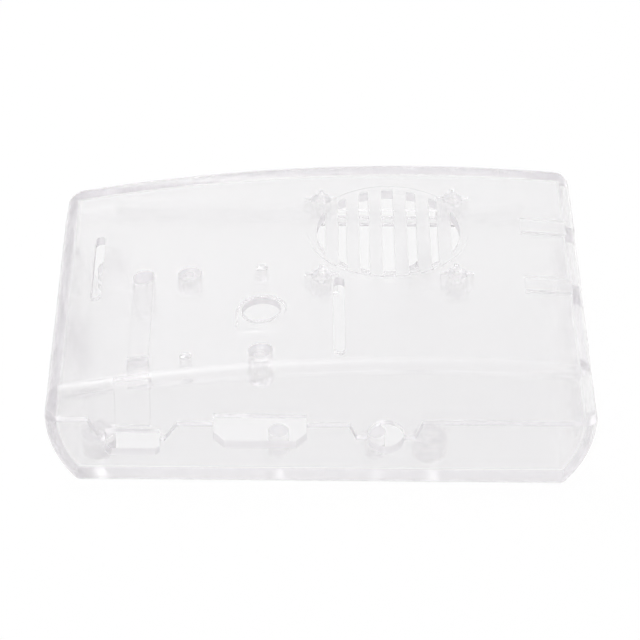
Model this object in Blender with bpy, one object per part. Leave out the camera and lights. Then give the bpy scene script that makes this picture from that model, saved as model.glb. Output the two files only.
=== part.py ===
"""Clear snap-together case for a small single board computer: a bottom shell and a top cover.

Metres, +Z up, origin under the middle of the case on the surface it stands on. X runs along the
length towards the network and USB end, -Y is the long wall with the power, video and audio ports.
"""
import math

import bmesh
import bpy
from mathutils import Vector

# Overall form
LENGTH = 0.0956           # over the widest line of the two end walls
DEPTH = 0.0626
HEIGHT = 0.0264           # at the highest line of the arched roof
PARTING = 0.0134          # height of the joint between shell and cover, the widest line of the ends
WALL = 0.002
ROOF = 0.0015             # the roof is thinner than the walls
CORNER_RADIUS = 0.0022    # upright corners, in plan
RIDGE_RADIUS = 0.0014     # front and back walls into the roof
SILL_RADIUS = 0.0015      # front and back walls into the floor
BOTTOM_RADIUS = 0.0012    # end walls into the floor
TOP_RADIUS = 0.002        # end walls into the roof
INNER_RADIUS = 0.0005
INNER_RIDGE_RADIUS = 0.002
INNER_SILL_RADIUS = 0.0012
END_BULGE = 0.0205        # radius of the end walls below the joint
END_DRAFT = math.radians(10)
ROOF_CREST = 0.018        # where along the length the roof is highest
LEFT_HEIGHT = 0.0194      # of the roof at the widest line of the left end
GAP = 0.0003              # free play between cover and shell

# Board that the case is made for
BOARD_LEFT = 0.0054       # from the widest line of the left end to the board's left edge
BOARD_FRONT = 0.0042      # from the front wall's outer face to the board's front edge
BOARD_BACK = 0.0024       # from the back wall's outer face to the board's back edge
HOLE_INSET, HOLE_PITCH = 0.0035, 0.058     # from the board's edges, and along the board
STANDOFF_HEIGHT = 0.0038
STANDOFF_RADIUS = 0.0029
PEG_RADIUS = 0.0012
PEG_HEIGHT = 0.0018
REST_POSTS = (0.035, 0.052)   # along the board, two plain posts that carry its front edge
REST_POST_INSET = 0.0037
REST_POST_RADIUS = 0.0018

# Front ports, each place measured along the board from its left edge
POWER_AT, POWER_WIDTH, POWER_BOTTOM, POWER_TOP, POWER_CHAMFER = 0.0098, 0.0094, 0.0061, 0.011, 0.0009
VIDEO_AT, VIDEO_WIDTH, VIDEO_BOTTOM, VIDEO_TOP, VIDEO_CHAMFER = 0.0318, 0.0161, 0.008, 0.0145, 0.0018
AUDIO_AT, AUDIO_RADIUS, AUDIO_HEIGHT = 0.0536, 0.0032, 0.0102

# Stepped joint line of the front wall
POWER_TONGUE = (0.0154, 0.0110, 0.0094)    # width at its root, width at its tip, height of its tip
AUDIO_TONGUE = (0.0127, 0.0102, 0.0101)
MIDDLE_PARTING = 0.0127                    # height of the joint between the two tongues

# End ports: the network port from the board's front edge, the USB ports from its back edge. Each
# opening's head is the distance from the roof's inner face at the end down to the opening
NETWORK_AT, NETWORK_WIDTH, NETWORK_HEAD = 0.0102, 0.0164, 0.0027
USB_AT, USB_WIDTH, USB_HEAD = (0.026, 0.0076), 0.0134, 0.0012
END_PORT_BOTTOM = 0.0068
ROOF_RIB_REACH, ROOF_RIB_DEPTH = 0.0118, 0.0008    # ribs under the roof between the end ports
ROOF_RIB_MARGIN, ROOF_RIB_SHIFT = 0.0003, 0.0011   # clear of the openings, and moved towards the back
END_CUT = 0.008            # how far in from the widest line of an end its openings are cut
CARD_AT, CARD_WIDTH, CARD_HEIGHT, CARD_LIFT = 0.028, 0.014, 0.0046, 0.0004

# Lip of the shell behind the cover's back wall, and the free height over it in the cover's rebate
LIP_HALF_LENGTH, LIP_HEIGHT, LIP_SEAT, LIP_PROUD = 0.038, 0.002, 0.0006, 0.0003
LIP_HEADROOM = 0.0016

# Fan place in the roof
FAN_AT = (0.012, 0.0224)            # along the case from its middle, and from the back wall's outer face
FAN_HOLE_PITCH = 0.024
FAN_SEAT_DROP = 0.0045              # below the roof's inner face at the fan's middle
FAN_BOSS_RADIUS, FAN_PILOT_RADIUS, FAN_PILOT_DEPTH = 0.0018, 0.0009, 0.0028
FAN_FIN_REACH, FAN_FIN_THICKNESS, FAN_FIN_STEP = 0.0029, 0.0008, 0.0008
GRILLE_RADIUS = 0.01295
GRILLE_BAR = 0.0024
GRILLE_SLOTS = (0.0021, 0.0017, 0.0014)    # widths from the middle outward, the last slot fills the circle
DISC_RADIUS, DISC_RISE = 0.01435, 0.00015  # the grille's round field stands a little proud of the roof

# Camera place in the roof. The lens hole lies in a shallow round field with one square corner
CAMERA_AT = (-0.0106, 0.0179)
LENS_RADIUS = 0.0034
LENS_FIELD_RADIUS, LENS_FIELD_DEPTH, LENS_FIELD_SHIFT = 0.0044, 0.0003, 0.0007
CAMERA_ROWS = (0.0065, 0.0311)      # from the front wall's outer face
CAMERA_COLUMN_PITCH = 0.0128
CAMERA_SEAT_DROP = 0.0043
CAMERA_POST_RADIUS, CAMERA_PILOT_RADIUS, CAMERA_PILOT_DEPTH = 0.0021, 0.0008, 0.0028
CAMERA_PEG_RADIUS, CAMERA_PEG_LENGTH = 0.001, 0.0026

# Ribbon slots in the roof: middle along the case, front end, back end, width
RIBBON_SLOTS = ((0.003, 0.0039, 0.0259, 0.0019), (-0.0401, 0.0263, 0.0451, 0.0017))

# Hold-down bar under the roof, from a block behind the front wall to a round column over the board
BAR_AT, BAR_START, BAR_END, BAR_WIDTH, BAR_DEPTH = -0.0316, 0.0048, 0.0318, 0.0037, 0.0012
BAR_BLOCK_LENGTH, BAR_BLOCK_DEPTH = 0.0036, 0.0031
COLUMN_LENGTH = 0.0088
BAR_SHOULDER = 0.0001      # the bar's sides lie this far inside the block's and the column's

# Pad that thickens the front wall from above the power port up to the roof, and the tongue inside
# the left end
PAD_WIDTH, PAD_REACH, PAD_CLEAR = 0.006, 0.0008, 0.0006
CATCH_FRONT, CATCH_BACK, CATCH_THICKNESS = 0.0397, 0.0493, 0.0014
CATCH_BELOW, CATCH_ABOVE = 0.003, 0.0012

ROUND_STEPS = 24
ROOF_STEPS = 16
OVERSHOOT = 0.001          # how far a cutter runs past the face it cuts
BURY = 0.5                 # share of the wall that a post or rib is sunk into

LEFT, RIGHT, FRONT, BACK = -LENGTH / 2, LENGTH / 2, -DEPTH / 2, DEPTH / 2
BOARD_X, BOARD_Y = LEFT + BOARD_LEFT, FRONT + BOARD_FRONT
BOARD_END_Y = BACK - BOARD_BACK
BOARD_UNDER = WALL + STANDOFF_HEIGHT
ROOF_FALL = HEIGHT - LEFT_HEIGHT
ROOF_RADIUS = ((ROOF_CREST - LEFT) ** 2 + ROOF_FALL ** 2) / (2 * ROOF_FALL)
FAN_X, FAN_Y = FAN_AT[0], BACK - FAN_AT[1]


def roof_height(x, inset=0.0):
    """Height of the arched roof, or of a surface `inset` below it."""
    reach = ROOF_RADIUS - inset
    return HEIGHT - ROOF_RADIUS + math.sqrt(reach ** 2 - (x - ROOF_CREST) ** 2)


def upper_end(z, inset=0.0):
    """Half length of the case at a height above the joint, or of a surface `inset` inside it."""
    return LENGTH / 2 - inset / math.cos(END_DRAFT) - (z - PARTING) * math.tan(END_DRAFT)


def arc(centre, radius, start, end, steps):
    """Points along an arc, both ends included."""
    turns = [start + (end - start) * k / steps for k in range(steps + 1)]
    return [(centre[0] + radius * math.cos(a), centre[1] + radius * math.sin(a)) for a in turns]


def circle(centre, radius, steps=ROUND_STEPS):
    return arc(centre, radius, 0, 2 * math.pi, steps)[:-1]


def roof_corner(side, inset, end_off, under_roof):
    """Where the drafted end wall meets the roof on one side, found by stepping to it."""
    z = HEIGHT
    for _ in range(8):
        x = side * (upper_end(z, inset) - end_off)
        z = roof_height(x, under_roof)
    return x, z


def end_wall(side, inset, end_off, under_roof, floor_off):
    """Outline of one end in front elevation, from the floor up to the roof, as (x, z) points."""
    radius = max(BOTTOM_RADIUS - inset, INNER_RADIUS)
    floor = inset + floor_off
    bulge = END_BULGE - inset
    middle = LENGTH / 2 - END_BULGE - end_off
    turn = math.asin((PARTING - floor - radius) / (bulge - radius))
    foot = middle + math.cos(turn) * (bulge - radius)
    points = arc((foot, floor + radius), radius, -math.pi / 2, -turn, 3)
    points += arc((middle, PARTING), bulge, -turn, 0, 8)[1:]
    points = [(side * x, z) for x, z in points]

    corner_x, corner_z = roof_corner(side, inset, end_off, under_roof)
    round_off = max(TOP_RADIUS - inset, INNER_RADIUS)
    start = (corner_x + side * round_off * math.sin(END_DRAFT), corner_z - round_off * math.cos(END_DRAFT))
    end_x = corner_x - side * round_off
    end = (end_x, roof_height(end_x, under_roof))
    for k in range(5):
        t = k / 4
        weights = ((1 - t) ** 2, 2 * t * (1 - t), t ** 2)
        knots = (start, (corner_x, corner_z), end)
        points.append(tuple(sum(w * p[axis] for w, p in zip(weights, knots)) for axis in (0, 1)))
    return points


def case_outline(inset, end_off, under_roof, floor_off):
    """The closed front elevation of the case: ends and floor moved inward, the top `under_roof` deep."""
    right = end_wall(1, inset, end_off, under_roof, floor_off)
    left = end_wall(-1, inset, end_off, under_roof, floor_off)
    start, end = right[-1][0], left[-1][0]
    across = [start + (end - start) * k / ROOF_STEPS for k in range(1, ROOF_STEPS)]
    return right + [(x, roof_height(x, under_roof)) for x in across] + left[::-1]


def new_object(name, bm):
    bmesh.ops.recalc_face_normals(bm, faces=bm.faces[:])
    mesh = bpy.data.meshes.new(name)
    bm.to_mesh(mesh)
    bm.free()
    body = bpy.data.objects.new(name, mesh)
    bpy.context.scene.collection.objects.link(body)
    return body


def bridge(bm, rings):
    """Walls between rings of equal length, and a flat face over the first and the last."""
    for low, high in zip(rings, rings[1:]):
        for k in range(len(low)):
            after = (k + 1) % len(low)
            bm.faces.new((low[k], low[after], high[after], high[k]))
    bm.faces.new(rings[0])
    bm.faces.new(rings[-1])


def rounding(radius, depth):
    """How far a round edge lies inside its sharp corner, at a depth behind the wall's face."""
    rest = max(radius - depth, 0)
    return radius - math.sqrt(radius ** 2 - rest ** 2)


def case_body(name, inset, roof_inset, corner_radius, ridge_radius, sill_radius, steps):
    """A solid of the case's form, its walls and roof moved inward, with round corners and long edges."""
    bm = bmesh.new()
    face = DEPTH / 2 - inset
    slices = []
    for k in range(steps + 1):
        depth = max(corner_radius, sill_radius) * (1 - math.cos(math.pi / 2 * k / steps))
        corner, ridge, sill = (rounding(radius, depth) for radius in (corner_radius, ridge_radius, sill_radius))
        slices.append((depth - face, (corner, roof_inset + ridge, sill)))
    slices += [(-y, offs) for y, offs in reversed(slices)]
    rings = [[bm.verts.new((x, y, z)) for x, z in case_outline(inset, *offs)] for y, offs in slices]
    bridge(bm, rings)
    return new_object(name, bm)


def prisms(name, outlines, low, high, axis):
    """Straight solids from closed outlines: axis Z takes (x, y) points, axis Y takes (x, z) points.

    `low` and `high` are numbers, or functions of x that give a sloping end.
    """
    bm = bmesh.new()
    for outline in outlines:
        rings = []
        for level in (low, high):
            ring = []
            for x, other in outline:
                reach = level(x) if callable(level) else level
                ring.append(bm.verts.new((x, other, reach) if axis == "Z" else (x, reach, other)))
            rings.append(ring)
        bridge(bm, rings)
    return new_object(name, bm)


def box_outline(low, high):
    return [(low[0], low[1]), (high[0], low[1]), (high[0], high[1]), (low[0], high[1])]


def box(name, low, high):
    return prisms(name, [box_outline(low, high)], low[2], high[2], "Z")


def combine(body, tool, operation):
    """Apply one exact Boolean to `body` and throw the tool away."""
    modifier = body.modifiers.new("Boolean", "BOOLEAN")
    modifier.operation = operation
    modifier.solver = "EXACT"
    modifier.object = tool
    result = bpy.data.meshes.new_from_object(body.evaluated_get(bpy.context.evaluated_depsgraph_get()))
    body.modifiers.clear()
    old = body.data
    body.data = result
    result.name = body.name
    bpy.data.meshes.remove(old)
    bpy.data.objects.remove(tool)


def cut(body, tool):
    combine(body, tool, "DIFFERENCE")


def join(body, tool):
    combine(body, tool, "UNION")


def case_shell(name):
    """The hollow case, both halves in one, before its ports and its joint are cut."""
    body = case_body(name, 0.0, 0.0, CORNER_RADIUS, RIDGE_RADIUS, SILL_RADIUS, 6)
    cut(body, case_body("cavity", WALL, ROOF, INNER_RADIUS, INNER_RIDGE_RADIUS, INNER_SILL_RADIUS, 4))
    return body


def power_outline():
    middle, half, chamfer = BOARD_X + POWER_AT, POWER_WIDTH / 2, POWER_CHAMFER
    return [(middle - half + chamfer, POWER_BOTTOM), (middle + half - chamfer, POWER_BOTTOM),
            (middle + half, POWER_BOTTOM + chamfer), (middle + half, POWER_TOP),
            (middle - half, POWER_TOP), (middle - half, POWER_BOTTOM + chamfer)]


def video_outline():
    middle, half, chamfer = BOARD_X + VIDEO_AT, VIDEO_WIDTH / 2, VIDEO_CHAMFER
    return [(middle - half + chamfer, VIDEO_BOTTOM), (middle + half - chamfer, VIDEO_BOTTOM),
            (middle + half, VIDEO_BOTTOM + chamfer), (middle + half, VIDEO_TOP),
            (middle - half, VIDEO_TOP), (middle - half, VIDEO_BOTTOM + chamfer)]


def cut_ports(body):
    """Openings that cross the joint, so both halves get their share of each."""
    front_ports = [power_outline(), video_outline(), circle((BOARD_X + AUDIO_AT, AUDIO_HEIGHT), AUDIO_RADIUS)]
    cut(body, prisms("front_ports", front_ports, FRONT - OVERSHOOT, FRONT + WALL + OVERSHOOT, "Y"))
    for at, width, top in end_ports():
        cut(body, box("end_port", (RIGHT - END_CUT, at - width / 2, END_PORT_BOTTOM),
                      (RIGHT + OVERSHOOT, at + width / 2, top)))
    card = BOARD_Y + CARD_AT
    floor = WALL + CARD_LIFT
    cut(body, box("card_slot", (LEFT - OVERSHOOT, card - CARD_WIDTH / 2, floor),
                  (LEFT + END_CUT, card + CARD_WIDTH / 2, floor + CARD_HEIGHT)))


def end_ports():
    """Middle, width and top of each opening in the right end, front to back."""
    roof = roof_height(RIGHT, ROOF)
    ports = [(BOARD_Y + NETWORK_AT, NETWORK_WIDTH, roof - NETWORK_HEAD)]
    return ports + [(BOARD_END_Y - at, USB_WIDTH, roof - USB_HEAD) for at in USB_AT]


def board_holes():
    rows = (BOARD_Y + HOLE_INSET, BOARD_END_Y - HOLE_INSET)
    start = BOARD_X + HOLE_INSET
    return [(x, y) for y in rows for x in (start, start + HOLE_PITCH)]


def joint_line(lift):
    """The stepped joint of the front wall as (x, z) points, moved up by `lift` square to itself."""
    points = [(LEFT - 2 * WALL, PARTING)]
    tongues = ((BOARD_X + POWER_AT, POWER_TONGUE, PARTING, MIDDLE_PARTING),
               (BOARD_X + AUDIO_AT, AUDIO_TONGUE, MIDDLE_PARTING, PARTING))
    for middle, (root, tip, height), before, after in tongues:
        points += [(middle - root / 2, before), (middle - tip / 2, height),
                   (middle + tip / 2, height), (middle + root / 2, after)]
    points.append((RIGHT + 2 * WALL, PARTING))

    spans = [(Vector(b) - Vector(a)).normalized() for a, b in zip(points, points[1:])]
    normals = [Vector((-s.y, s.x)) for s in spans]
    moved = []
    for k, point in enumerate(points):
        before, after = normals[max(k - 1, 0)], normals[min(k, len(normals) - 1)]
        moved.append(tuple(Vector(point) + (before + after) * lift / (1 + before.dot(after))))
    return moved


def split(body, keep_upper):
    """Cut away one side of the joint: stepped through the front wall, level behind it."""
    side = 1 if keep_upper else -1
    level = PARTING + side * GAP / 2
    far = -HEIGHT if keep_upper else 2 * HEIGHT
    behind = FRONT + WALL + 2 * GAP
    low, high = sorted((far, level))
    cut(body, box("level_cut", (LEFT - OVERSHOOT, behind, low), (RIGHT + OVERSHOOT, BACK + OVERSHOOT, high)))
    line = joint_line(side * GAP / 2)
    outline = line + [(line[-1][0], far), (line[0][0], far)]
    cut(body, prisms("stepped_cut", [outline], FRONT - OVERSHOOT, behind + GAP, "Y"))


def lip_box(name, play, low, high):
    return box(name, (-LIP_HALF_LENGTH - play, BACK - WALL - LIP_PROUD - play, low),
               (LIP_HALF_LENGTH + play, BACK - WALL + LIP_SEAT + play, high))


def make_bottom_shell():
    """Floor, lower walls, board standoffs, rest posts and the lip behind the back wall."""
    body = case_shell("bottom_shell")
    cut_ports(body)
    split(body, keep_upper=False)
    root = WALL * BURY
    join(body, lip_box("lip", 0.0, root, PARTING + LIP_HEIGHT))
    centres = board_holes()
    join(body, prisms("standoffs", [circle(c, STANDOFF_RADIUS) for c in centres], root, BOARD_UNDER, "Z"))
    join(body, prisms("pegs", [circle(c, PEG_RADIUS, 16) for c in centres], root, BOARD_UNDER + PEG_HEIGHT, "Z"))
    posts = [(BOARD_X + x, BOARD_Y + REST_POST_INSET) for x in REST_POSTS]
    join(body, prisms("rest_posts", [circle(c, REST_POST_RADIUS, 16) for c in posts], root, BOARD_UNDER, "Z"))
    return body


def in_roof(x):
    return roof_height(x, ROOF * BURY)


def above_roof(x):
    return roof_height(x) + OVERSHOOT


def hang(body, name, outlines, bottom):
    """Posts or ribs joined to the roof's inner side, down to a level or a function of x."""
    join(body, prisms(name, outlines, bottom, in_roof, "Z"))


def fan_corners():
    half = FAN_HOLE_PITCH / 2
    return [(FAN_X + sx * half, FAN_Y + sy * half) for sx in (-1, 1) for sy in (-1, 1)]


def fan_seat():
    return roof_height(FAN_X, ROOF) - FAN_SEAT_DROP


def grille_outlines():
    """Slots across the fan circle, narrower away from the middle, with equal bars between them."""
    edge = GRILLE_SLOTS[0] / 2
    spans = [(-edge, edge)]
    for width in GRILLE_SLOTS[1:] + (GRILLE_RADIUS,):
        start = edge + GRILLE_BAR
        edge = min(start + width, GRILLE_RADIUS)
        if start < edge:
            spans += [(start, edge), (-edge, -start)]
    outlines = []
    for low, high in spans:
        start, end = math.acos(high / GRILLE_RADIUS), math.acos(low / GRILLE_RADIUS)
        upper = arc((0, 0), GRILLE_RADIUS, start, end, 6)
        lower = [(x, -y) for x, y in reversed(upper)]
        points = upper + lower
        distinct = [p for k, p in enumerate(points) if math.dist(p, points[k - 1]) > GAP / 10]
        outlines.append([(FAN_X + x, FAN_Y + y) for x, y in distinct])
    return outlines


def grille_disc():
    """The grille's round field, whose top follows the arch of the roof."""
    reach = DISC_RADIUS + OVERSHOOT
    across = [FAN_X - reach + 2 * reach * k / ROOF_STEPS for k in range(ROOF_STEPS + 1)]
    outline = [(x, roof_height(x, -DISC_RISE)) for x in across] + [(x, in_roof(x)) for x in reversed(across)]
    disc = prisms("grille_disc", [outline], FAN_Y - reach, FAN_Y + reach, "Y")
    edge = circle((FAN_X, FAN_Y), DISC_RADIUS, 2 * ROUND_STEPS)
    combine(disc, prisms("disc_edge", [edge], PARTING, 2 * HEIGHT, "Z"), "INTERSECT")
    return disc


def stadium(middle, front, back, width):
    """A slot outline with round ends."""
    radius = width / 2
    far = arc((middle, FRONT + back - radius), radius, 0, math.pi, 6)
    near = arc((middle, FRONT + front + radius), radius, math.pi, 2 * math.pi, 6)
    return far + near


def add_fan_place(body):
    corners = fan_corners()
    seat = fan_seat()
    hang(body, "fan_bosses", [circle(c, FAN_BOSS_RADIUS, 16) for c in corners], seat)
    fins = []
    for x, y in corners:
        reach, half = FAN_FIN_REACH, FAN_FIN_THICKNESS / 2
        fins.append([(x - half, y - reach), (x + half, y - reach), (x + half, y - half), (x + reach, y - half),
                     (x + reach, y + half), (x + half, y + half), (x + half, y + reach), (x - half, y + reach),
                     (x - half, y + half), (x - reach, y + half), (x - reach, y - half), (x - half, y - half)])
    hang(body, "fan_fins", fins, seat + FAN_FIN_STEP)
    pilots = [circle(c, FAN_PILOT_RADIUS, 12) for c in corners]
    cut(body, prisms("fan_pilots", pilots, seat - OVERSHOOT, seat + FAN_PILOT_DEPTH, "Z"))
    join(body, grille_disc())
    cut(body, prisms("grille", grille_outlines(), seat, above_roof, "Z"))


def add_camera_place(body):
    lens = (CAMERA_AT[0], FRONT + CAMERA_AT[1])
    near, far = (FRONT + row for row in CAMERA_ROWS)
    left, right = CAMERA_AT[0] - CAMERA_COLUMN_PITCH, CAMERA_AT[0]
    seat = roof_height((left + right) / 2, ROOF) - CAMERA_SEAT_DROP
    posts = [(left, far), (right, near)]
    hang(body, "camera_posts", [circle(c, CAMERA_POST_RADIUS) for c in posts], seat)
    pilots = [circle(c, CAMERA_PILOT_RADIUS, 12) for c in posts]
    cut(body, prisms("camera_pilots", pilots, seat - OVERSHOOT, seat + CAMERA_PILOT_DEPTH, "Z"))
    for x, y in ((left, near), (right, far)):
        peg = circle((x, y), CAMERA_PEG_RADIUS, 12)
        hang(body, "camera_peg", [peg], roof_height(x, ROOF) - CAMERA_PEG_LENGTH)
    radius, middle = LENS_FIELD_RADIUS, lens[1] - LENS_FIELD_SHIFT
    field = arc((lens[0], middle), radius, -math.pi / 2, math.pi, 18) + [(lens[0] - radius, middle - radius)]
    cut(body, prisms("lens_field", [field], lambda x: roof_height(x, LENS_FIELD_DEPTH), above_roof, "Z"))
    cut(body, prisms("lens_hole", [circle(lens, LENS_RADIUS, 32)], seat, above_roof, "Z"))


def add_hold_down_bar(body):
    start, end, half = FRONT + BAR_START, FRONT + BAR_END, BAR_WIDTH / 2
    under = roof_height(BAR_AT, ROOF)
    hang(body, "column", [circle((BAR_AT, end), half)], under - COLUMN_LENGTH)
    block = box_outline((BAR_AT - half, start), (BAR_AT + half, start + BAR_BLOCK_LENGTH))
    hang(body, "block", [block], under - BAR_BLOCK_DEPTH)
    narrow = half - BAR_SHOULDER
    bar = box_outline((BAR_AT - narrow, start + BAR_SHOULDER), (BAR_AT + narrow, end))
    hang(body, "bar", [bar], lambda x: roof_height(x, ROOF + BAR_DEPTH))


def add_ribs(body):
    """Roof ribs between the end ports, the pad over the power port, the catch in the left end."""
    ports = end_ports()
    inner, outer = RIGHT - ROOF_RIB_REACH, upper_end(in_roof(RIGHT), WALL * BURY)
    ribs = []
    for (front, front_width, _), (back, back_width, _) in zip(ports, ports[1:]):
        ribs.append(box_outline((inner, front + front_width / 2 + ROOF_RIB_MARGIN + ROOF_RIB_SHIFT),
                                (outer, back - back_width / 2 - ROOF_RIB_MARGIN + ROOF_RIB_SHIFT)))
    hang(body, "roof_ribs", ribs, lambda x: roof_height(x, ROOF + ROOF_RIB_DEPTH))

    middle = BOARD_X + POWER_AT
    pad = box_outline((middle - PAD_WIDTH / 2, FRONT + WALL * BURY),
                      (middle + PAD_WIDTH / 2, FRONT + WALL + PAD_REACH))
    hang(body, "pad", [pad], POWER_TOP + PAD_CLEAR)

    bottom, top = PARTING - CATCH_BELOW, PARTING + CATCH_ABOVE
    drop = math.sqrt((END_BULGE - WALL) ** 2 - CATCH_BELOW ** 2)
    face = LENGTH / 2 - END_BULGE + drop - GAP
    inside = face - CATCH_THICKNESS
    shoulder = PARTING + 2 * GAP
    catch = [(-face, bottom), (-inside, bottom), (-inside, top), (-upper_end(top, WALL * BURY), top),
             (-upper_end(shoulder, WALL * BURY), shoulder), (-face, shoulder)]
    join(body, prisms("catch", [catch], FRONT + CATCH_FRONT, FRONT + CATCH_BACK, "Y"))


def make_top_cover():
    """Arched roof, upper walls with the two front tongues, and everything that hangs under it."""
    body = case_shell("top_cover")
    cut_ports(body)
    split(body, keep_upper=True)
    cut(body, lip_box("lip_seat", GAP, PARTING - WALL, PARTING + LIP_HEIGHT + LIP_HEADROOM))
    add_hold_down_bar(body)
    add_fan_place(body)
    add_camera_place(body)
    add_ribs(body)
    cut(body, prisms("ribbon_slots", [stadium(*slot) for slot in RIBBON_SLOTS],
                     lambda x: roof_height(x, 2 * WALL), above_roof, "Z"))
    return body


def clear_plastic(name, colour, roughness):
    """Clear moulded plastic with a faint tint."""
    material = bpy.data.materials.new(name)
    material.use_nodes = True
    shader = material.node_tree.nodes["Principled BSDF"]
    shader.inputs["Base Color"].default_value = (*colour, 1)
    shader.inputs["Metallic"].default_value = 0
    shader.inputs["Roughness"].default_value = roughness
    shader.inputs["Transmission Weight"].default_value = 1
    shader.inputs["IOR"].default_value = 1.54
    return material


def finish(body, material):
    """Shade round stretches smooth and give the piece its plastic."""
    body.data.materials.clear()
    body.data.materials.append(material)
    body.data.shade_smooth()
    body.data.set_sharp_from_angle(angle=math.radians(25))


def main():
    for item in list(bpy.data.objects):
        bpy.data.objects.remove(item)
    finish(make_bottom_shell(), clear_plastic("shell_plastic", (0.93, 0.92, 0.94), 0.12))
    finish(make_top_cover(), clear_plastic("cover_plastic", (0.94, 0.93, 0.94), 0.1))


main()
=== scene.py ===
"""Looks of the clear snap-together case for a small single board computer.

Metres, +Z up, origin under the middle of the case. X runs towards the network and USB end, and -Y is
the long wall with the power, video and audio ports.
"""
import math

import bmesh
import bpy
from mathutils import Matrix, Vector


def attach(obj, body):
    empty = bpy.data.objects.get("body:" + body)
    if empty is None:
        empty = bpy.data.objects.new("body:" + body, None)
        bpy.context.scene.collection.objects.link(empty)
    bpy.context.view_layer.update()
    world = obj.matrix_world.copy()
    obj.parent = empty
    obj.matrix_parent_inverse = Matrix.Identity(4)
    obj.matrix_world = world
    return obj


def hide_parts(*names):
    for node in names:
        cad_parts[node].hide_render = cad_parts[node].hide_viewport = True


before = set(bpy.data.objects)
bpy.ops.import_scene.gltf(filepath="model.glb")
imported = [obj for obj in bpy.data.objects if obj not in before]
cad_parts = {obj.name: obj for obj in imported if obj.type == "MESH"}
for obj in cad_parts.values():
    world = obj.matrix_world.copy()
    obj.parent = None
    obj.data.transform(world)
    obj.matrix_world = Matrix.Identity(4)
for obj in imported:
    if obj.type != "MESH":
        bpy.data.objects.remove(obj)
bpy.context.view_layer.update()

# Hollow form that both mouldings share.
# The case is a shallow box moulded in clear polycarbonate with 2 mm walls and a 1.5 mm roof. The roof
# is one long arch, the ends bulge below the joint and lean in above it, and all outer edges are round.
LENGTH, DEPTH, HEIGHT = 0.0956, 0.0626, 0.0264
PARTING = 0.0134               # height of the joint between the halves
WALL, ROOF = 0.002, 0.0015
CORNER_RADIUS, RIDGE_RADIUS, SILL_RADIUS = 0.0022, 0.0014, 0.0015
BOTTOM_RADIUS, TOP_RADIUS = 0.0012, 0.002
INNER_RADIUS, INNER_RIDGE_RADIUS, INNER_SILL_RADIUS = 0.0005, 0.002, 0.0012
END_BULGE = 0.0205
END_DRAFT = math.radians(10)
ROOF_CREST, LEFT_HEIGHT = 0.018, 0.0194
ROOF_STEPS, BULGE_STEPS, CORNER_STEPS, EDGE_STEPS, TOP_STEPS = 60, 20, 10, 6, 8
CORNER_ROUNDS = 8              # rounds in which the corner of the arch and a leaning end is closed in on

LEFT, RIGHT, FRONT, BACK = -LENGTH / 2, LENGTH / 2, -DEPTH / 2, DEPTH / 2
ROOF_FALL = HEIGHT - LEFT_HEIGHT
ROOF_RADIUS = ((ROOF_CREST - LEFT) ** 2 + ROOF_FALL ** 2) / (2 * ROOF_FALL)


def roof_height(x, inset=0.0):
    """Height of the arched roof, or of a surface `inset` below it."""
    return HEIGHT - ROOF_RADIUS + math.sqrt((ROOF_RADIUS - inset) ** 2 - (x - ROOF_CREST) ** 2)


def leaning_end(z, inset=0.0):
    """Half length of the case at a height above the joint, or of a surface `inset` inside it."""
    return RIGHT - inset / math.cos(END_DRAFT) - (z - PARTING) * math.tan(END_DRAFT)


def arc(centre, radius, start, end, steps):
    """Points along an arc, both ends included."""
    turns = [start + (end - start) * k / steps for k in range(steps + 1)]
    return [(centre[0] + radius * math.cos(a), centre[1] + radius * math.sin(a)) for a in turns]


def end_outline(side, inset, end_off, under_roof, floor_off):
    """One end wall in front elevation, from the floor up to the roof, as (x, z) points."""
    radius = max(BOTTOM_RADIUS - inset, INNER_RADIUS)
    floor = inset + floor_off
    bulge = END_BULGE - inset
    middle = RIGHT - END_BULGE - end_off
    turn = math.asin((PARTING - floor - radius) / (bulge - radius))
    foot = middle + math.cos(turn) * (bulge - radius)
    points = arc((foot, floor + radius), radius, -math.pi / 2, -turn, EDGE_STEPS)
    points += arc((middle, PARTING), bulge, -turn, 0, BULGE_STEPS)[1:]
    points = [(side * x, z) for x, z in points]

    corner_z = HEIGHT
    for _ in range(CORNER_ROUNDS):
        corner_x = side * (leaning_end(corner_z, inset) - end_off)
        corner_z = roof_height(corner_x, under_roof)
    corner = Vector((corner_x, corner_z))
    round_off = max(TOP_RADIUS - inset, INNER_RADIUS)
    start = Vector((corner_x + side * round_off * math.sin(END_DRAFT),
                    corner_z - round_off * math.cos(END_DRAFT)))
    end_x = corner_x - side * round_off
    end = Vector((end_x, roof_height(end_x, under_roof)))
    for k in range(TOP_STEPS + 1):
        t = k / TOP_STEPS
        points.append(tuple((1 - t) ** 2 * start + 2 * t * (1 - t) * corner + t ** 2 * end))
    return points


def case_outline(inset, end_off, under_roof, floor_off):
    """The closed front elevation of the case, as (x, z) points."""
    right, left = (end_outline(side, inset, end_off, under_roof, floor_off) for side in (1, -1))
    start, end = right[-1][0], left[-1][0]
    across = [start + (end - start) * k / ROOF_STEPS for k in range(1, ROOF_STEPS)]
    return right + [(x, roof_height(x, under_roof)) for x in across] + left[::-1]


def solid_from(name, rings):
    """A solid skinned over rings of points, with a face at each end."""
    bm = bmesh.new()
    rings = [[bm.verts.new(point) for point in ring] for ring in rings]
    for near, far in zip(rings, rings[1:]):
        for k in range(len(near)):
            after = (k + 1) % len(near)
            bm.faces.new((near[k], near[after], far[after], far[k]))
    bm.faces.new(rings[0])
    bm.faces.new(rings[-1])
    bmesh.ops.recalc_face_normals(bm, faces=bm.faces[:])
    mesh = bpy.data.meshes.new(name)
    bm.to_mesh(mesh)
    bm.free()
    made = bpy.data.objects.new(name, mesh)
    bpy.context.scene.collection.objects.link(made)
    return made


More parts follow.
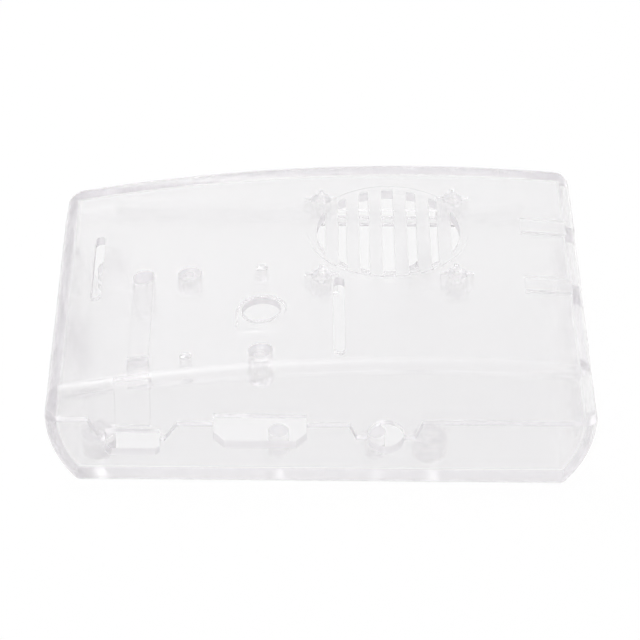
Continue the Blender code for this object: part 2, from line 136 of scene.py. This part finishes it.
def rounding(radius, depth):
    """How far a round edge lies inside its sharp corner, at a depth behind the wall's face."""
    rest = max(radius - depth, 0)
    return radius - math.sqrt(radius ** 2 - rest ** 2)


def case_form(name, inset, roof_inset, corner_radius, ridge_radius, sill_radius):
    """The outside of the case, or the hollow inside it, skinned from the front wall to the back wall."""
    face = DEPTH / 2 - inset
    slices = []
    for k in range(CORNER_STEPS + 1):
        depth = max(corner_radius, sill_radius) * (1 - math.cos(math.pi / 2 * k / CORNER_STEPS))
        end_off = rounding(corner_radius, depth)
        under_roof = roof_inset + rounding(ridge_radius, depth)
        slices.append((depth - face, (end_off, under_roof, rounding(sill_radius, depth))))
    slices += [(-y, offs) for y, offs in reversed(slices)]
    return solid_from(name, [[(x, y, z) for x, z in case_outline(inset, *offs)] for y, offs in slices])


def settle(piece):
    """Apply the modifiers of a piece to its mesh."""
    depsgraph = bpy.context.evaluated_depsgraph_get()
    before, piece.data = piece.data, bpy.data.meshes.new_from_object(piece.evaluated_get(depsgraph))
    piece.modifiers.clear()
    bpy.data.meshes.remove(before)


def shape(piece, tool, operation):
    """Cut `tool` from `piece` or join it on, and throw the tool away."""
    modifier = piece.modifiers.new("shape", "BOOLEAN")
    modifier.operation, modifier.solver, modifier.object = operation, "EXACT", tool
    settle(piece)
    bpy.data.objects.remove(tool)


# Clear plastic of both mouldings.
# Clear polycarbonate, toned a little violet. The outside is polished, the inside hazier, the openings and the
# underside are matt from the mould, and the joint, port tops and post ends are scuffed. The walls of the
# openings also carry painted shade, and the underside a painted shadow of the case on the table under it.
FINISHES = ("outside", "inside", "opening", "underside", "scuffed")
OUTSIDE, INSIDE, OPENING, UNDERSIDE, SCUFFED = range(len(FINISHES))
LEVEL = 0.9                    # upward share of a face's normal from which the face counts as level
OUTSIDE_HAZE, INSIDE_HAZE, OPENING_HAZE, UNDERSIDE_HAZE = 0.22, 0.25, 0.35, 0.35
HAZE_SPREAD = 0.04
FLOW_SCALE, FLOW_DETAIL = 90.0, 2.0      # flow marks of the plastic in the mould
WAVE_DEPTH = 0.000003
REFRACTION = 1.5
TINT = (0.945, 0.943, 0.946, 1)
# painted shade: the walls of the slots and holes are coloured darker where shade falls inside them
OPENING_PAINTED_SHADE = (0.80, 0.785, 0.805, 1)
# painted shadow: the underside is coloured darker for the shadow the case casts on the table under it
UNDERSIDE_PAINTED_SHADOW = (0.85, 0.846, 0.852, 1)
SCUFF_COLOUR, SCUFF_SHARE = (0.62, 0.60, 0.63, 1), 0.35
TONER = (0.70, 0.65, 0.70, 1)
TONER_DENSITY = 6.0


class Socket:
    """One output of a shader node. Arithmetic on it adds Math nodes, and node() adds any other kind."""

    def __init__(self, tree, link=None):
        self.tree, self.link = tree, link

    def node(self, kind, settings=None, inputs=None, output=0):
        made = self.tree.nodes.new("ShaderNode" + kind)
        for name, value in (settings or {}).items():
            setattr(made, name, value)
        for name, value in (inputs or {}).items():
            if isinstance(value, Socket):
                self.tree.links.new(value.link, made.inputs[name])
            else:
                made.inputs[name].default_value = value
        return Socket(self.tree, made.outputs[output]) if made.outputs else None

    def math(self, operation, *values):
        return self.node("Math", {"operation": operation}, dict(enumerate(values)))

    def __add__(self, other):
        return self.math("ADD", self, other)

    __radd__ = __add__

    def __mul__(self, other):
        return self.math("MULTIPLY", self, other)

    __rmul__ = __mul__

    def __sub__(self, other):
        return self.math("SUBTRACT", self, other)

    def __rsub__(self, other):
        return self.math("SUBTRACT", other, self)


def clear_plastic():
    """One material for all the finishes, which it reads from attributes of a piece's faces."""
    material = bpy.data.materials.new("clear_plastic")
    material.use_nodes = True
    tree = material.node_tree
    tree.nodes.clear()
    start = Socket(tree)
    shares = [start.node("Attribute", {"attribute_name": name}, output=2) for name in FINISHES[INSIDE:]]
    inside, opening, underside, scuffed = shares
    place = start.node("TexCoord", output=3)
    flow = start.node("TexNoise", None, {"Vector": place, "Scale": FLOW_SCALE, "Detail": FLOW_DETAIL})
    waves = start.node("Bump", None, {"Height": flow, "Strength": 1.0, "Distance": WAVE_DEPTH})
    # the plastic's tint, with painted shade on the walls of the openings and a painted shadow on the
    # underside
    tint_and_painted_shade = start.node("Mix", {"data_type": "RGBA"}, {0: opening, 6: TINT, 7: OPENING_PAINTED_SHADE}, output=2)
    tint_and_painted_shade = start.node("Mix", {"data_type": "RGBA"}, {0: underside, 6: tint_and_painted_shade, 7: UNDERSIDE_PAINTED_SHADOW}, output=2)
    haze = (flow - 0.5) * HAZE_SPREAD + inside * (INSIDE_HAZE - OUTSIDE_HAZE)
    haze += opening * (OPENING_HAZE - OUTSIDE_HAZE) + underside * (UNDERSIDE_HAZE - OUTSIDE_HAZE)
    clear = start.node("BsdfPrincipled", None, {
        "Base Color": tint_and_painted_shade, "Roughness": haze + OUTSIDE_HAZE, "Normal": waves,
        "IOR": REFRACTION, "Transmission Weight": 1.0})
    toner = start.node("VolumeAbsorption", None, {"Color": TONER, "Density": TONER_DENSITY})
    scuff = start.node("BsdfDiffuse", None, {"Color": SCUFF_COLOUR})
    surface = start.node("MixShader", None, {0: scuffed * SCUFF_SHARE, 1: clear, 2: scuff})
    start.node("OutputMaterial", None, {"Surface": surface, "Volume": toner})
    return material


plastic = clear_plastic()


def mark(piece, finish, up=None, down=None):
    """Give a piece its plastic in one slot for each finish, and its faces one of the finishes. Level
    faces that look up or down can have their own."""
    up, down = finish if up is None else up, finish if down is None else down
    for _ in FINISHES:
        piece.data.materials.append(plastic)
    for face in piece.data.polygons:
        face.material_index = up if face.normal.z > LEVEL else down if face.normal.z < -LEVEL else finish


def cut(piece, tool, finish=OPENING, top=None):
    """Cut `tool` from `piece`. The cut's faces get `finish`, and its upper end `top`."""
    mark(tool, finish, up=top)
    shape(piece, tool, "DIFFERENCE")


def join(piece, tool, finish=INSIDE, top=None, bottom=None):
    """Join `tool` to `piece`. Its faces get `finish`, and its ends `top` and `bottom`."""
    mark(tool, finish, top, bottom)
    shape(piece, tool, "UNION")


def hollow_case(name):
    """The whole case as one closed shell, from which each moulding is cut."""
    case = case_form(name, 0.0, 0.0, CORNER_RADIUS, RIDGE_RADIUS, SILL_RADIUS)
    mark(case, OUTSIDE)
    hollow = case_form("hollow", WALL, ROOF, INNER_RADIUS, INNER_RIDGE_RADIUS, INNER_SILL_RADIUS)
    cut(case, hollow, INSIDE)
    return case


# Openings and the joint, which both mouldings share.
# The ports are plain cut-outs in the walls, placed by the board's connectors. The joint steps down in
# two tongues round the power and audio ports, so that the cover closes each port from above.
GAP = 0.00012                  # width of the joint, and the play between pieces that locate each other
OVERSHOOT = 0.001              # how far a cutting tool reaches past what it cuts
ROUND_STEPS, POST_STEPS, PIN_STEPS = 48, 40, 32
BOARD_LEFT, BOARD_FRONT, BOARD_BACK = 0.0054, 0.0042, 0.0024
BOARD_X, BOARD_Y, BOARD_END_Y = LEFT + BOARD_LEFT, FRONT + BOARD_FRONT, BACK - BOARD_BACK
POWER_X, POWER_WIDTH, POWER_BOTTOM, POWER_TOP, POWER_CHAMFER = BOARD_X + 0.0098, 0.0094, 0.0061, 0.011, 0.0009
VIDEO_X, VIDEO_WIDTH, VIDEO_BOTTOM, VIDEO_TOP, VIDEO_CHAMFER = BOARD_X + 0.0318, 0.0161, 0.008, 0.0145, 0.0018
AUDIO_X, AUDIO_RADIUS, AUDIO_HEIGHT = BOARD_X + 0.0536, 0.0032, 0.0102
NETWORK_Y, NETWORK_WIDTH, NETWORK_HEAD = BOARD_Y + 0.0102, 0.0164, 0.0027
USB_Y, USB_WIDTH, USB_HEAD = (BOARD_END_Y - 0.026, BOARD_END_Y - 0.0076), 0.0134, 0.0012
END_PORT_BOTTOM, END_CUT = 0.0068, 0.008
CARD_Y, CARD_WIDTH, CARD_HEIGHT, CARD_LIFT = BOARD_Y + 0.028, 0.014, 0.0046, 0.0004
POWER_TONGUE, AUDIO_TONGUE = (0.0154, 0.0110, 0.0094), (0.0127, 0.0102, 0.0101)     # root, tip, lowest z
MIDDLE_PARTING = 0.0127        # height of the joint between the tongues


def upright(name, outline, low, high):
    """A prism over an (x, y) outline. `low` and `high` are heights, or functions of x."""
    rings = [[(x, y, level(x) if callable(level) else level) for x, y in outline] for level in (low, high)]
    return solid_from(name, rings)


def through_front(name, outline, near, far):
    """A prism along Y over an (x, z) outline."""
    return solid_from(name, [[(x, y, z) for x, z in outline] for y in (near, far)])


def rectangle(left, front, right, back):
    """An (x, y) outline with four corners."""
    return [(left, front), (right, front), (right, back), (left, back)]


def circle(centre, radius, steps=ROUND_STEPS):
    """A round outline, without its last point twice."""
    return arc(centre, radius, 0, 2 * math.pi, steps)[:-1]


def port_outline(middle, width, bottom, top, chamfer):
    """A port with its two lower corners cut off, as (x, z) points."""
    half = width / 2
    return [(middle - half + chamfer, bottom), (middle + half - chamfer, bottom),
            (middle + half, bottom + chamfer), (middle + half, top),
            (middle - half, top), (middle - half, bottom + chamfer)]


def end_ports():
    """Middle, width and top of each opening in the right end, front to back."""
    roof = roof_height(RIGHT, ROOF)
    usb = [(y, USB_WIDTH, roof - USB_HEAD) for y in USB_Y]
    return [(NETWORK_Y, NETWORK_WIDTH, roof - NETWORK_HEAD)] + usb


def open_ports(case):
    """Cut all openings of the walls."""
    near, far = FRONT - OVERSHOOT, FRONT + WALL + OVERSHOOT
    for outline in (port_outline(POWER_X, POWER_WIDTH, POWER_BOTTOM, POWER_TOP, POWER_CHAMFER),
                    port_outline(VIDEO_X, VIDEO_WIDTH, VIDEO_BOTTOM, VIDEO_TOP, VIDEO_CHAMFER),
                    circle((AUDIO_X, AUDIO_HEIGHT), AUDIO_RADIUS)):
        cut(case, through_front("port", outline, near, far), top=SCUFFED)
    for y, width, top in end_ports():
        outline = rectangle(RIGHT - END_CUT, y - width / 2, RIGHT + OVERSHOOT, y + width / 2)
        cut(case, upright("end_port", outline, END_PORT_BOTTOM, top), INSIDE)
    outline = rectangle(LEFT - OVERSHOOT, CARD_Y - CARD_WIDTH / 2, LEFT + END_CUT, CARD_Y + CARD_WIDTH / 2)
    card_bottom = WALL + CARD_LIFT
    cut(case, upright("card_slot", outline, card_bottom, card_bottom + CARD_HEIGHT))


def joint_line(lift):
    """The stepped joint of the front wall as (x, z) points, moved up by `lift` square to itself."""
    points = [(LEFT - 2 * WALL, PARTING)]
    tongues = ((POWER_X, POWER_TONGUE, PARTING, MIDDLE_PARTING),
               (AUDIO_X, AUDIO_TONGUE, MIDDLE_PARTING, PARTING))
    for middle, (root, tip, height), before, after in tongues:
        points += [(middle - root / 2, before), (middle - tip / 2, height),
                   (middle + tip / 2, height), (middle + root / 2, after)]
    points.append((RIGHT + 2 * WALL, PARTING))
    points = [Vector(point) for point in points]
    spans = [(b - a).normalized() for a, b in zip(points, points[1:])]
    normals = [Vector((-span.y, span.x)) for span in spans]
    moved = []
    for k, point in enumerate(points):
        before, after = normals[max(k - 1, 0)], normals[min(k, len(normals) - 1)]
        moved.append(tuple(point + (before + after) * lift / (1 + before.dot(after))))
    return moved


def part_at_joint(case, side):
    """Keep the half above the joint (side 1) or below it (side -1), half the gap clear of it."""
    level = PARTING + side * GAP / 2
    far = -HEIGHT if side > 0 else 2 * HEIGHT
    behind = FRONT + WALL + 2 * GAP
    outline = rectangle(LEFT - OVERSHOOT, behind, RIGHT + OVERSHOOT, BACK + OVERSHOOT)
    cut(case, upright("level_cut", outline, *sorted((far, level))), SCUFFED)
    line = joint_line(side * GAP / 2)
    outline = line + [(line[-1][0], far), (line[0][0], far)]
    cut(case, through_front("stepped_cut", outline, FRONT - OVERSHOOT, behind + GAP), SCUFFED)


# Edges of both mouldings.
# Moulding leaves a small radius on every edge, which catches the light along the joint and the ports.
EDGE_BREAK, BREAK_STEPS, BREAK_FROM = 0.00012, 2, math.radians(35)
CREASE_FROM, FLAT_WEIGHT = math.radians(50), 80


def finish_moulding(piece):
    """Break the sharp edges, shade the rounded stretches smooth and hand the finishes to the plastic."""
    bevel = piece.modifiers.new("edge_break", "BEVEL")
    bevel.width, bevel.segments = EDGE_BREAK, BREAK_STEPS
    bevel.limit_method, bevel.angle_limit = "ANGLE", BREAK_FROM
    settle(piece)
    piece.data.shade_smooth()
    piece.data.set_sharp_from_angle(angle=CREASE_FROM)
    flatten = piece.modifiers.new("flatten", "WEIGHTED_NORMAL")
    flatten.keep_sharp, flatten.weight = True, FLAT_WEIGHT
    settle(piece)
    mesh = piece.data
    for finish in range(INSIDE, len(FINISHES)):
        shares = [float(face.material_index == finish) for face in mesh.polygons]
        mesh.attributes.new(FINISHES[finish], "FLOAT", "FACE").data.foreach_set("value", shares)
    for face in mesh.polygons:
        face.material_index = OUTSIDE
    while len(mesh.materials) > 1:
        mesh.materials.pop()


# Bottom shell.
# One injection moulding: floor, lower walls, four standoffs with locating pegs for the board's holes,
# two plain posts under the board's front edge, and a lip behind the back wall that locates the cover.
HOLE_INSET, HOLE_PITCH = 0.0035, 0.058
STANDOFF_HEIGHT, STANDOFF_RADIUS, PEG_RADIUS, PEG_HEIGHT = 0.0038, 0.0029, 0.0012, 0.0018
REST_POSTS = ((BOARD_X + 0.035, BOARD_Y + 0.0037), (BOARD_X + 0.052, BOARD_Y + 0.0037))
REST_POST_RADIUS = 0.0018
BOARD_UNDER = WALL + STANDOFF_HEIGHT
BURIED = ROOF / 2              # how deep posts and ribs are sunk into the wall that carries them
UNDERSIDE_BELOW = 0.00012      # level faces below this height belong to the underside
LIP_HALF_LENGTH, LIP_HEIGHT, LIP_SEAT, LIP_PROUD, LIP_HEADROOM = 0.038, 0.002, 0.0006, 0.0003, 0.0016


def lip(play, low, high):
    """The lip between two heights, with `play` all round for the rebate that clears it."""
    outline = rectangle(-LIP_HALF_LENGTH - play, BACK - WALL - LIP_PROUD - play,
                        LIP_HALF_LENGTH + play, BACK - WALL + LIP_SEAT + play)
    return upright("lip", outline, low, high)


shell = hollow_case("clear_bottom_shell")
open_ports(shell)
part_at_joint(shell, -1)
join(shell, lip(0.0, BURIED, PARTING + LIP_HEIGHT))
for x in (BOARD_X + HOLE_INSET, BOARD_X + HOLE_INSET + HOLE_PITCH):
    for y in (BOARD_Y + HOLE_INSET, BOARD_END_Y - HOLE_INSET):
        join(shell, upright("standoff", circle((x, y), STANDOFF_RADIUS), BURIED, BOARD_UNDER), top=SCUFFED)
        peg = upright("peg", circle((x, y), PEG_RADIUS, PIN_STEPS), BURIED, BOARD_UNDER + PEG_HEIGHT)
        join(shell, peg, top=SCUFFED)
for centre in REST_POSTS:
    rest_post = upright("rest_post", circle(centre, REST_POST_RADIUS, POST_STEPS), BURIED, BOARD_UNDER)
    join(shell, rest_post, top=SCUFFED)
# the level faces under the floor carry the painted shadow of the case on the table
for face in shell.data.polygons:
    if face.normal.z < -LEVEL and face.center.z < UNDERSIDE_BELOW:
        face.material_index = UNDERSIDE
finish_moulding(shell)
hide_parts("bottom_shell")
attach(shell, "base")

# Top cover: roof and upper walls.
# One injection moulding with all that the next sections add to its roof. It lifts straight off the
# shell, and a rebate in its back wall clears the shell's lip.


def inside_roof(x):
    """Height inside the roof's plastic, where whatever hangs from the roof begins."""
    return roof_height(x, BURIED)


def over_roof(x):
    """Height just over the roof, where a cut through it ends."""
    return roof_height(x) + OVERSHOOT


def hang(outline, bottom, end=SCUFFED):
    """Join a post or rib to the roof's inner side, down to a level or a function of x."""
    join(cover, upright("hanger", outline, bottom, inside_roof), bottom=end)


cover = hollow_case("clear_top_cover")
open_ports(cover)
part_at_joint(cover, 1)
cut(cover, lip(GAP, PARTING - WALL, PARTING + LIP_HEIGHT + LIP_HEADROOM), INSIDE)

# Hold-down bar under the left of the roof.
# A flat rib that runs back from a block near the front wall to a round column over the board.
BAR_X, BAR_START, BAR_END = -0.0316, FRONT + 0.0048, FRONT + 0.0318
BAR_WIDTH, BAR_DEPTH, BAR_SHOULDER = 0.0037, 0.0012, 0.0001
BLOCK_LENGTH, BLOCK_DEPTH, COLUMN_LENGTH = 0.0036, 0.0031, 0.0088
half, bar_roof = BAR_WIDTH / 2, roof_height(BAR_X, ROOF)
hang(circle((BAR_X, BAR_END), half), bar_roof - COLUMN_LENGTH)
hang(rectangle(BAR_X - half, BAR_START, BAR_X + half, BAR_START + BLOCK_LENGTH), bar_roof - BLOCK_DEPTH)
half -= BAR_SHOULDER
hang(rectangle(BAR_X - half, BAR_START + BAR_SHOULDER, BAR_X + half, BAR_END),
     lambda x: roof_height(x, ROOF + BAR_DEPTH), INSIDE)

# Fan place.
# Four bosses on a 24 mm square take the screws of a 30 mm fan, each with four fins that stiffen it.
# The grille over it is a disc a hair proud of the roof, with straight slots across it.
FAN_X, FAN_Y, FAN_PITCH = 0.012, BACK - 0.0224, 0.024
BOSS_LENGTH = 0.0045
FAN_SEAT = roof_height(FAN_X, ROOF) - BOSS_LENGTH
BOSS_RADIUS, PILOT_RADIUS, PILOT_DEPTH = 0.0018, 0.0009, 0.0028
FIN_REACH, FIN_THICKNESS, FIN_STEP = 0.0029, 0.0008, 0.0008
GRILLE_RADIUS, GRILLE_BAR, GRILLE_SLOTS = 0.01295, 0.0024, (0.0021, 0.0017, 0.0014)
DISC_RADIUS, DISC_RISE, DISC_STEPS = 0.01435, 0.00015, 144
SLOT_END_STEPS = 12
SAME_POINT = 0.000012          # points of a slot's outline closer than this are one

reach = DISC_RADIUS + OVERSHOOT
across = [FAN_X - reach + 2 * reach * k / ROOF_STEPS for k in range(ROOF_STEPS + 1)]
outline = [(x, roof_height(x, -DISC_RISE)) for x in across] + [(x, inside_roof(x)) for x in reversed(across)]
disc = through_front("disc", outline, FAN_Y - reach, FAN_Y + reach)
disc_edge = upright("disc_edge", circle((FAN_X, FAN_Y), DISC_RADIUS, DISC_STEPS), PARTING, 2 * HEIGHT)
shape(disc, disc_edge, "INTERSECT")
join(cover, disc, OUTSIDE)
for x in (FAN_X - FAN_PITCH / 2, FAN_X + FAN_PITCH / 2):
    for y in (FAN_Y - FAN_PITCH / 2, FAN_Y + FAN_PITCH / 2):
        hang(circle((x, y), BOSS_RADIUS, POST_STEPS), FAN_SEAT)
        reach, half = FIN_REACH, FIN_THICKNESS / 2
        hang([(x - half, y - reach), (x + half, y - reach), (x + half, y - half), (x + reach, y - half),
              (x + reach, y + half), (x + half, y + half), (x + half, y + reach), (x - half, y + reach),
              (x - half, y + half), (x - reach, y + half), (x - reach, y - half), (x - half, y - half)],
             FAN_SEAT + FIN_STEP, INSIDE)
        cut(cover, upright("pilot", circle((x, y), PILOT_RADIUS, PIN_STEPS), FAN_SEAT - OVERSHOOT,
                           FAN_SEAT + PILOT_DEPTH), INSIDE)

edge = GRILLE_SLOTS[0] / 2
slots = [(-edge, edge)]
for width in GRILLE_SLOTS[1:] + (GRILLE_RADIUS,):
    start = edge + GRILLE_BAR
    edge = min(start + width, GRILLE_RADIUS)
    slots += [(start, edge), (-edge, -start)]
for low, high in slots:
    turns = [math.acos(side / GRILLE_RADIUS) for side in (high, low)]
    far_side = arc((0, 0), GRILLE_RADIUS, *turns, SLOT_END_STEPS)
    outline = far_side + [(x, -y) for x, y in reversed(far_side)]
    outline = [p for k, p in enumerate(outline) if math.dist(p, outline[k - 1]) > SAME_POINT]
    cut(cover, upright("grille_slot", [(FAN_X + x, FAN_Y + y) for x, y in outline], FAN_SEAT, over_roof))

# Camera place.
# A round hole for the lens in a shallow field with one square corner, two tubes that take the camera
# board's screws, and two short pegs that locate it.
LENS, LENS_RADIUS = (-0.0106, FRONT + 0.0179), 0.0034
LENS_STEPS = 72
FIELD_RADIUS, FIELD_DEPTH, FIELD_SHIFT, FIELD_SLOPE = 0.0044, 0.0003, 0.0007, 0.0003
CAMERA_NEAR, CAMERA_FAR, CAMERA_PITCH = FRONT + 0.0065, FRONT + 0.0311, 0.0128
TUBE_RADIUS, TUBE_BORE, TUBE_LENGTH, BORE_DEPTH = 0.0021, 0.0008, 0.0043, 0.0028
LOCATOR_RADIUS, LOCATOR_LENGTH = 0.001, 0.0026
left_x, right_x = LENS[0] - CAMERA_PITCH, LENS[0]
tube_end = roof_height((left_x + right_x) / 2, ROOF) - TUBE_LENGTH
for centre in ((left_x, CAMERA_FAR), (right_x, CAMERA_NEAR)):
    hang(circle(centre, TUBE_RADIUS), tube_end)
    bore = upright("bore", circle(centre, TUBE_BORE, PIN_STEPS), tube_end - OVERSHOOT, tube_end + BORE_DEPTH)
    cut(cover, bore, INSIDE)
for centre in ((left_x, CAMERA_NEAR), (right_x, CAMERA_FAR)):
    hang(circle(centre, LOCATOR_RADIUS, PIN_STEPS), roof_height(centre[0], ROOF) - LOCATOR_LENGTH)
middle = (LENS[0], LENS[1] - FIELD_SHIFT)
rings = []
for depth in (FIELD_DEPTH, 0.0, -OVERSHOOT):
    radius = FIELD_RADIUS - FIELD_SLOPE * max(depth, 0.0) / FIELD_DEPTH
    ring = arc(middle, radius, -math.pi / 2, math.pi, POST_STEPS) + [(middle[0] - radius, middle[1] - radius)]
    rings.append([(x, y, roof_height(x, depth)) for x, y in ring])
cut(cover, solid_from("lens_field", rings), OUTSIDE)
cut(cover, upright("lens_hole", circle(LENS, LENS_RADIUS, LENS_STEPS), tube_end, over_roof))

# Ribs and catch of the cover.
# Two flat roof ribs lie between the end ports, a pad thickens the wall over the power port, and a
# tongue reaches down inside the left end to locate the cover.
RIB_REACH, RIB_DEPTH, RIB_MARGIN, RIB_SHIFT = 0.0118, 0.0008, 0.0003, 0.0011
PAD_WIDTH, PAD_REACH, PAD_CLEAR = 0.006, 0.0008, 0.0006
CATCH_FRONT, CATCH_BACK = FRONT + 0.0397, FRONT + 0.0493
CATCH_THICKNESS, CATCH_BELOW, CATCH_ABOVE = 0.0014, 0.003, 0.0012
ports = end_ports()
for (near_y, near_width, _), (far_y, far_width, _) in zip(ports, ports[1:]):
    hang(rectangle(RIGHT - RIB_REACH, near_y + near_width / 2 + RIB_MARGIN + RIB_SHIFT,
                   leaning_end(inside_roof(RIGHT), BURIED), far_y - far_width / 2 - RIB_MARGIN + RIB_SHIFT),
         lambda x: roof_height(x, ROOF + RIB_DEPTH), INSIDE)
hang(rectangle(POWER_X - PAD_WIDTH / 2, FRONT + BURIED, POWER_X + PAD_WIDTH / 2, FRONT + WALL + PAD_REACH),
     POWER_TOP + PAD_CLEAR)
bottom, top, shoulder = PARTING - CATCH_BELOW, PARTING + CATCH_ABOVE, PARTING + 2 * GAP
face = RIGHT - END_BULGE + math.sqrt((END_BULGE - WALL) ** 2 - CATCH_BELOW ** 2) - GAP
outline = [(-face, bottom), (CATCH_THICKNESS - face, bottom), (CATCH_THICKNESS - face, top),
           (-leaning_end(top, BURIED), top), (-leaning_end(shoulder, BURIED), shoulder), (-face, shoulder)]
join(cover, through_front("catch", outline, CATCH_FRONT, CATCH_BACK))

# Ribbon slots in the roof.
# Two long slots with round ends, cut straight through the roof by the mould, let flat ribbon cables
# out of the camera and display sockets.
RIBBON_SLOTS = ((0.003, 0.0039, 0.0259, 0.0019), (-0.0401, 0.0263, 0.0451, 0.0017))     # x, near, far, width
RIBBON_END_STEPS = 14
for x, near, far, width in RIBBON_SLOTS:
    radius = width / 2
    outline = arc((x, FRONT + far - radius), radius, 0, math.pi, RIBBON_END_STEPS)
    outline += arc((x, FRONT + near + radius), radius, math.pi, 2 * math.pi, RIBBON_END_STEPS)
    cut(cover, upright("ribbon_slot", outline, lambda x: roof_height(x, 2 * WALL), over_roof))
finish_moulding(cover)
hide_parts("top_cover")
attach(cover, "cover")

# Table.
# A plain white sheet of card that the case stands on. It glows a little for the camera, so that it
# reads as the white of the photograph, and keeps part of the case's soft shadow.
TABLE_HALF, TABLE_DROP = 2.0, 0.0001
PAPER_COLOUR, FLOOR_GLOW = (0.9, 0.9, 0.9, 1), 0.97
WHITE = (1, 1, 1, 1)


def seen_share(start, share):
    """`share` for rays from the camera, mirrors and glass, and 0 for the rays that light things."""
    kinds = ("Is Camera Ray", "Is Glossy Ray", "Is Transmission Ray")
    seen, mirrored, through = (start.node("LightPath", output=kind) for kind in kinds)
    return start.math("MAXIMUM", seen, start.math("MAXIMUM", mirrored, through)) * share


bm = bmesh.new()
bmesh.ops.create_grid(bm, x_segments=2, y_segments=2, size=TABLE_HALF)
mesh = bpy.data.meshes.new("table")
bm.to_mesh(mesh)
bm.free()
table = bpy.data.objects.new("table", mesh)
bpy.context.scene.collection.objects.link(table)
table.location.z = -TABLE_DROP
card = bpy.data.materials.new("white_card")
card.use_nodes = True
card.node_tree.nodes.clear()
start = Socket(card.node_tree)
paper = start.node("BsdfDiffuse", None, {"Color": PAPER_COLOUR})
glow = start.node("Emission", None, {"Color": WHITE, "Strength": 1.0})
mixed = start.node("MixShader", None, {0: seen_share(start, FLOOR_GLOW), 1: paper, 2: glow})
start.node("OutputMaterial", None, {"Surface": mixed})
mesh.materials.append(card)

# Light.
# An even white surround and one large soft lamp behind and above. Light is followed through many
# walls and never blurred on the way, because short or blurred paths leave dark bands in the plastic.
SURROUND = 0.75
LAMP_POWER, LAMP_SIZE, LAMP_PLACE = 2.0, 0.5, (-0.2, 0.15, 0.6)
BOUNCES = 32

world = bpy.data.worlds.new("surround")
world.use_nodes = True
world.node_tree.nodes.clear()
start = Socket(world.node_tree)
lighting = start.node("Background", None, {"Color": WHITE, "Strength": SURROUND})
shown = start.node("Background", None, {"Color": WHITE, "Strength": 1.0})
mixed = start.node("MixShader", None, {0: seen_share(start, 1.0), 1: lighting, 2: shown})
start.node("OutputWorld", None, {"Surface": mixed})
bpy.context.scene.world = world

lamp = bpy.data.lights.new("softbox", "AREA")
lamp.energy, lamp.size = LAMP_POWER, LAMP_SIZE
softbox = bpy.data.objects.new("softbox", lamp)
bpy.context.scene.collection.objects.link(softbox)
softbox.location = LAMP_PLACE
softbox.rotation_euler = (-softbox.location).to_track_quat("-Z", "Y").to_euler()

paths = bpy.context.scene.cycles
paths.max_bounces = paths.transmission_bounces = paths.glossy_bounces = BOUNCES
paths.blur_glossy = 0.0

# Camera.
# Half a metre from the front wall and 36 degrees above it, with a long lens, slightly rolled.
ELEVATION, YAW, ROLL, DISTANCE = math.radians(35.56), math.radians(-1.373), math.radians(1.369), 0.55995
TARGET = Vector((0.004264, -0.0003, 0.016896))
FOCAL_PIXELS, CENTRE_PIXELS, IMAGE = 3116.77, (344.87, 302.76), 640
NEAREST = 0.01
flat = math.cos(ELEVATION)
back = Vector((math.sin(YAW) * flat, -math.cos(YAW) * flat, math.sin(ELEVATION)))
across = Vector((0, 0, 1)).cross(back).normalized()
up = back.cross(across)
axes = (math.cos(ROLL) * across + math.sin(ROLL) * up, math.cos(ROLL) * up - math.sin(ROLL) * across, back)
lens = bpy.data.cameras.new("camera")
camera = bpy.data.objects.new("camera", lens)
bpy.context.scene.collection.objects.link(camera)
camera.matrix_world = Matrix.Translation(TARGET + back * DISTANCE) @ Matrix(axes).transposed().to_4x4()
lens.lens = FOCAL_PIXELS / IMAGE * lens.sensor_width
lens.shift_x = (IMAGE / 2 - CENTRE_PIXELS[0]) / IMAGE
lens.shift_y = (CENTRE_PIXELS[1] - IMAGE / 2) / IMAGE
lens.clip_start = NEAREST
bpy.context.scene.camera = camera
bpy.context.scene.view_settings.view_transform = "Standard"
